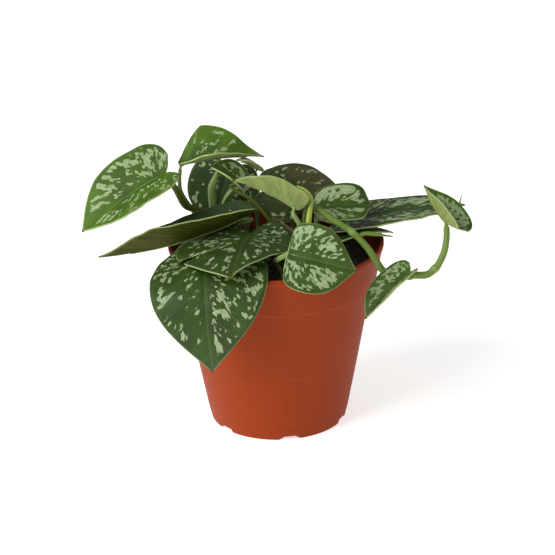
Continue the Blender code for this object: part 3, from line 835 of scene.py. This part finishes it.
def blade_point(blade, length, share, across, swell=0.0):
    """A point of the blade in its own frame: X along it, Y to its left, Z above it."""
    side = 0 if across > 0 else 1
    sign = 1 if across > 0 else -1
    half = blade["halves"][side]
    x, out = blade_spot(blade, share, across)
    front = min(max(x, 0), 1)
    rear = min(x, 0)
    height = 4 * blade["arch"] * (front * (1 - front) + rear)
    if blade["lobe"]:
        height += blade["lift"] * (rear / blade["lobe"]) ** 2
    slope = math.atan(4 * blade["arch"] * (1 - 2 * front) / length)
    normal = Vector((-math.sin(slope), 0, math.cos(slope)))
    turn = Matrix.Rotation(math.radians(blade["twist"]) * x, 3, normal.cross((0, -1, 0)))
    normal = turn @ normal
    left = turn @ Vector((0, 1, 0))
    fold = math.radians(blade["folds"][side])
    curl = math.radians(blade["curls"][side]) or 0.000001
    sideways = half * (math.sin(fold + curl * out) - math.sin(fold)) / curl
    rise = half * (math.cos(fold) - math.cos(fold + curl * out)) / curl
    bow = blade["skew"] * math.sin(math.pi * front)
    return (Vector((length * x, 0, height)) + left * (sign * sideways + bow)
            + normal * (rise + swell))


def blade_matrix(blade):
    """Where the blade stands: its origin at the petiole, X towards the tip, turned by its roll."""
    base = Vector(blade["base"])
    along = (Vector(blade["tip"]) - base).normalized()
    level = Vector((-along.y, along.x, 0)).normalized()
    left = Matrix.Rotation(math.radians(blade["roll"]), 3, along) @ level
    axes = Matrix((along, left, along.cross(left))).transposed()
    return Matrix.Translation(base) @ axes.to_4x4()


def blade_length(blade):
    return (Vector(blade["tip"]) - Vector(blade["base"])).length


def ripple(blade, length, share, across, seed):
    """Swell of the blade: a groove over the midrib, low quilting and a wavy margin."""
    side = 0 if across > 0 else 1
    x, out = blade_spot(blade, share, across)
    y = blade["halves"][side] * out * (1 if across > 0 else -1)
    groove = -0.32 * math.exp(-(y / 0.9) ** 2) * (1 - 0.6 * max(x, 0))
    wave = noise.noise(Vector((x * length / 11, y / 11, seed))) * 0.55
    quilt = 0.10 * math.cos(math.tau * share * length / VEIN_SPACING) * math.sin(math.pi * abs(across))
    frill = noise.noise(Vector((x * length / 6, seed, y / 30))) * 0.7 * abs(across) ** 5
    fade = min(1, 3 * (1 - share) + 0.15)
    return (groove + (wave + quilt + frill) * fade) * min(1, length / 35)


def blade_piece(name, spec, seed, materials):
    leaf = bpy.context.scene.pothos.leaf
    blade = LEAF_DEFAULTS | spec
    length = blade_length(blade)
    stand = blade_matrix(blade)
    bm = bmesh.new()
    bmesh.ops.create_grid(bm, x_segments=leaf.rows, y_segments=leaf.lanes, size=0.5)
    maps = bm.verts.layers.float_vector.new("leaf_map")
    looks = bm.verts.layers.float_vector.new("leaf_look")
    edges = bm.verts.layers.float.new("leaf_edge")
    tips = bm.verts.layers.float.new("leaf_tip")
    olives = bm.verts.layers.float.new("leaf_olive")
    tear = blade["tear"]
    if tear:
        torn = round(tear * leaf.rows)
        tear += 0.5 / leaf.rows
    for vert in bm.verts:
        share = vert.co.x + 0.5
        lane = vert.co.y * 2
        across = math.copysign(abs(lane) ** 1.2, lane)
        row = round(share * leaf.rows)
        if tear and row in (torn, torn + 1) and across < -TEAR_START:
            gape = TEAR_GAPE * ((-across - TEAR_START) / (1 - TEAR_START)) ** 1.5
            share = tear + (gape if row > torn else -gape)
        side = 0 if across > 0 else 1
        half = blade["halves"][side]
        x, out = blade_spot(blade, share, across)
        swell = ripple(blade, length, share, across, seed)
        vert[maps] = (share * length, out * half * (1 if across > 0 else -1), seed * 3.7)
        vert[looks] = (blade["young"], blade["silver"], blade["brown"])
        full_out = margin(blade, side, share)[1]
        vert[edges] = min((full_out - out) * half, (1 - x) * length * 0.5) + 0.02
        vert[tips] = max(0, 1 - (1 - x) * length / 2.2) if x > 0.5 else 0
        vert[olives] = blade["olive"]
        vert.co = stand @ blade_point(blade, length, share, across, swell) * MM
    if tear:
        start = -0.5 * blade["halves"][1] * margin(blade, 1, blade["tear"])[1]
        wedge = []
        for face in bm.faces:
            centre = sum((v[maps] for v in face.verts), Vector()) / 4
            if abs(centre.x / length - tear) < 0.004 and centre.y < start:
                wedge.append(face)
        bmesh.ops.delete(bm, geom=wedge, context="FACES")
    piece = to_piece(f"{name}_blade", bm, materials, name)
    skin = piece.modifiers.new("thickness", "SOLIDIFY")
    skin.thickness = leaf.thickness
    skin.offset = 0
    if len(materials) > 1:
        skin.material_offset = 1
        skin.material_offset_rim = 2
    return piece


# ---- stems ----

def smooth_route(points, spans):
    """Points on a Catmull-Rom curve through the given ones."""
    ends = [2 * points[0] - points[1], *points, 2 * points[-1] - points[-2]]
    route = []
    for a, b, c, d in zip(ends, ends[1:], ends[2:], ends[3:]):
        for i in range(spans):
            t = i / spans
            route.append(
                (2 * b + (c - a) * t + (2 * a - 5 * b + 4 * c - d) * t ** 2
                 + (3 * b - a - 3 * c + d) * t ** 3) / 2)
    route.append(points[-1])
    return route


def radius_at(radii, share):
    place_on = share * (len(radii) - 1)
    i = min(int(place_on), len(radii) - 2)
    return mix(radii[i], radii[i + 1], place_on - i)


def rooted(stem):
    """The stem's points in millimetres, from under the soil where it has a foot there."""
    if "soil" not in stem:
        return list(stem["via"])
    x, y = stem["soil"]
    top = SOIL_HIGH.z / MM
    return [(x, y, top - 3), (x, y, top + 4), *stem["via"]]


def tube_piece(name, points, radii, finish, nodes=(), ridge=0, seed=0):
    """A round stem through these points, with swollen joints at the nodes."""
    sides = bpy.context.scene.pothos.stem.sides
    route = smooth_route([Vector(p) for p in points], STEM_SPANS)
    steps = len(route) - 1
    travel = [0.0]
    for a, b in zip(route, route[1:]):
        travel.append(travel[-1] + (b - a).length)
    body = steps - ridge
    stations = []
    side = Vector((0.3, -1, 0.2))
    for i, here in enumerate(route):
        ahead = route[min(i + 1, steps)] - route[max(i - 1, 0)]
        ahead.normalize()
        side = (side - ahead * side.dot(ahead)).normalized()
        share = min(i / body, 1)
        radius = radius_at(radii, share)
        if ridge and i > body:
            radius *= mix(0.8, 0.22, ((i - body) / ridge) ** 0.6)
        near = [(here - Vector(node)).length / JOINT_REACH for node in nodes]
        joint = max([math.exp(-gap ** 2) for gap in near], default=0)
        radius *= 1 + JOINT_SWELL * joint
        radius += 0.06 * noise.noise(Vector((travel[i] / 5, seed, 0)))
        stations.append((here, side, ahead.cross(side), radius, travel[i], joint))
    bm = bmesh.new()
    bmesh.ops.create_grid(bm, x_segments=steps, y_segments=sides, size=0.5)
    maps = bm.verts.layers.float_vector.new("stem_map")
    joints = bm.verts.layers.float.new("stem_joint")
    for vert in bm.verts:
        here, left, up, radius, far, joint = stations[round((vert.co.x + 0.5) * steps)]
        angle = (vert.co.y + 0.5) * math.tau
        x, y = math.cos(angle), math.sin(angle)
        oval = 1 + 0.05 * math.cos(2 * angle + seed)
        vert[maps] = (far + seed * 13, x, y)
        vert[joints] = joint * 0.6
        vert.co = (here + (left * x + up * y) * radius * oval) * MM
    bmesh.ops.remove_doubles(bm, verts=bm.verts[:], dist=0.0000005)
    bmesh.ops.holes_fill(bm, edges=bm.edges[:], sides=0)
    bmesh.ops.recalc_face_normals(bm, faces=bm.faces[:])
    return to_piece(f"{name}_skin", bm, [stem_finish(finish)], name)


def petiole_piece(name, stem, seed):
    """A petiole: it meets its blade and runs on as the ridge of the midrib under it."""
    blade = LEAF_DEFAULTS | LEAVES[name]
    length = blade_length(blade)
    stand = blade_matrix(blade)
    half_thick = bpy.context.scene.pothos.leaf.thickness / MM / 2
    slope = math.atan(4 * blade["arch"] / length)
    below = stand.to_3x3() @ Vector((math.sin(slope), 0, -math.cos(slope)))
    base = Vector(blade["base"])
    points = [*rooted(stem), base + below * 3.2]
    ribs = []
    for x in (0.05, 0.2, 0.4, 0.6, 0.8):
        share = x ** (1 / RIB_POWER)
        ribs.append(stand @ blade_point(blade, length, share, 0.0001, -half_thick - 0.35))
    points += ribs
    return tube_piece(
        f"petiole_{name}", points, stem["radii"], stem.get("finish", "stem_petiole"),
        ridge=STEM_SPANS * len(ribs), seed=seed)


# ---- operators ----

class BuildStep(bpy.types.Operator):
    """One step of the plant"""
    bl_options = {"REGISTER", "UNDO"}


class POTHOS_OT_pot(BuildStep):
    """Build the nursery pot"""
    bl_idname = "pothos.pot"
    bl_label = "Nursery pot"

    def execute(self, context):
        pot_piece()
        return {"FINISHED"}


class POTHOS_OT_soil(BuildStep):
    """Build the potting soil"""
    bl_idname = "pothos.soil"
    bl_label = "Potting soil"

    def execute(self, context):
        soil_piece()
        return {"FINISHED"}


class POTHOS_OT_leaves(BuildStep):
    """Build the leaf blades"""
    bl_idname = "pothos.leaves"
    bl_label = "Leaf blades"

    def execute(self, context):
        skins = [finished(leaf_upper), finished(leaf_under), finished(leaf_rim)]
        for seed, (name, spec) in enumerate(LEAVES.items()):
            blade_piece(f"leaf_{name}", spec, seed + 1, skins)
        return {"FINISHED"}


class POTHOS_OT_petioles(BuildStep):
    """Build the petioles"""
    bl_idname = "pothos.petioles"
    bl_label = "Petioles"

    def execute(self, context):
        for seed, (name, stem) in enumerate(PETIOLES.items()):
            petiole_piece(name, stem, seed + 1)
        return {"FINISHED"}


class POTHOS_OT_vine(BuildStep):
    """Build the trailing vine"""
    bl_idname = "pothos.vine"
    bl_label = "Trailing vine"

    def execute(self, context):
        tube_piece(
            "vine", rooted(VINE), VINE["radii"], VINE["finish"],
            nodes=VINE["nodes"], seed=31)
        return {"FINISHED"}


class POTHOS_OT_shoots(BuildStep):
    """Build the young shoots and buds"""
    bl_idname = "pothos.shoots"
    bl_label = "Shoots and buds"

    def execute(self, context):
        for seed, (name, stem) in enumerate(SHOOTS.items()):
            tube_piece(
                name, rooted(stem), stem["radii"], stem["finish"],
                seed=seed + 41)
        return {"FINISHED"}


class POTHOS_OT_sheaths(BuildStep):
    """Build the papery sheaths"""
    bl_idname = "pothos.sheaths"
    bl_label = "Papery sheaths"

    def execute(self, context):
        for seed, (name, spec) in enumerate(SHEATHS.items()):
            blade_piece(name, spec, seed + 51, [stem_finish(spec["finish"])])
        return {"FINISHED"}


class POTHOS_OT_stage(BuildStep):
    """Set the floor, the lights and the camera"""
    bl_idname = "pothos.stage"
    bl_label = "Stage"

    def execute(self, context):
        stage = context.scene.pothos.stage
        bm = bmesh.new()
        bmesh.ops.create_grid(bm, x_segments=8, y_segments=8, size=4)
        floor = to_piece("studio_floor", bm, [finished(stage_floor)])

        world = bpy.data.worlds.new("studio")
        world.use_nodes = True
        sky = world.node_tree.nodes["Background"]
        sky.inputs["Color"].default_value = (1, 1, 1, 1)
        sky.inputs["Strength"].default_value = stage.sky
        context.scene.world = world

        aim = Vector((0.0005, 0, stage.height))
        for name, spot, size, power in (
                ("key_light", (-1.05, -0.75, 1.05), 1.1, stage.key),
                ("fill_light", (1.1, -0.8, 0.6), 1.2, stage.fill)):
            data = bpy.data.lights.new(name, "AREA")
            data.size = size
            data.energy = power
            lamp = bpy.data.objects.new(name, data)
            lamp.location = spot
            lamp.rotation_euler = (aim - Vector(spot)).to_track_quat("-Z", "Y").to_euler()
            context.scene.collection.objects.link(lamp)

        lens = bpy.data.cameras.new("camera")
        lens.lens = stage.lens
        lens.sensor_width = 36
        camera = bpy.data.objects.new("camera", lens)
        back = Vector((0, -math.cos(stage.elevation), math.sin(stage.elevation)))
        turn = (-back).to_track_quat("-Z", "Y").to_matrix().to_4x4()
        turn = turn @ Matrix.Rotation(stage.roll, 4, "Z")
        camera.matrix_world = Matrix.Translation(aim + back * stage.distance) @ turn
        context.scene.collection.objects.link(camera)
        context.scene.camera = camera
        context.scene.view_settings.view_transform = "Standard"
        return {"FINISHED"}


class POTHOS_PT_panel(bpy.types.Panel):
    """The potted pothos in the 3D view's sidebar"""
    bl_idname = "POTHOS_PT_panel"
    bl_label = "Potted satin pothos"
    bl_space_type = "VIEW_3D"
    bl_region_type = "UI"
    bl_category = "Pothos"

    def draw(self, context):
        settings = context.scene.pothos
        groups = (("pot", "pot"), ("soil", "soil"), ("leaf", "leaves"), ("stem", "petioles"),
                  ("stage", "stage"))
        for group, step in groups:
            box = self.layout.box()
            box.operator(f"pothos.{step}")
            if group == "stem":
                for other in ("vine", "shoots", "sheaths"):
                    box.operator(f"pothos.{other}")
            values = getattr(settings, group)
            for key in values.__annotations__:
                box.prop(values, key)


CLASSES = (
    PotSettings, SoilSettings, LeafSettings, StemSettings, StageSettings, PothosSettings,
    POTHOS_OT_pot, POTHOS_OT_soil, POTHOS_OT_leaves, POTHOS_OT_petioles, POTHOS_OT_vine,
    POTHOS_OT_shoots, POTHOS_OT_sheaths, POTHOS_OT_stage, POTHOS_PT_panel,
)


def register():
    for item in CLASSES:
        bpy.utils.register_class(item)
    bpy.types.Scene.pothos = PointerProperty(type=PothosSettings)


def unregister():
    del bpy.types.Scene.pothos
    for item in reversed(CLASSES):
        bpy.utils.unregister_class(item)


def corners(box):
    return [list(corner) for corner in box]


def main():
    register()
    bpy.ops.pothos.pot()
    bpy.ops.pothos.soil()
    bpy.ops.pothos.leaves()
    bpy.ops.pothos.petioles()
    bpy.ops.pothos.vine()
    bpy.ops.pothos.shoots()
    bpy.ops.pothos.sheaths()
    bpy.ops.pothos.stage()


if __name__ == "__main__":
    main()
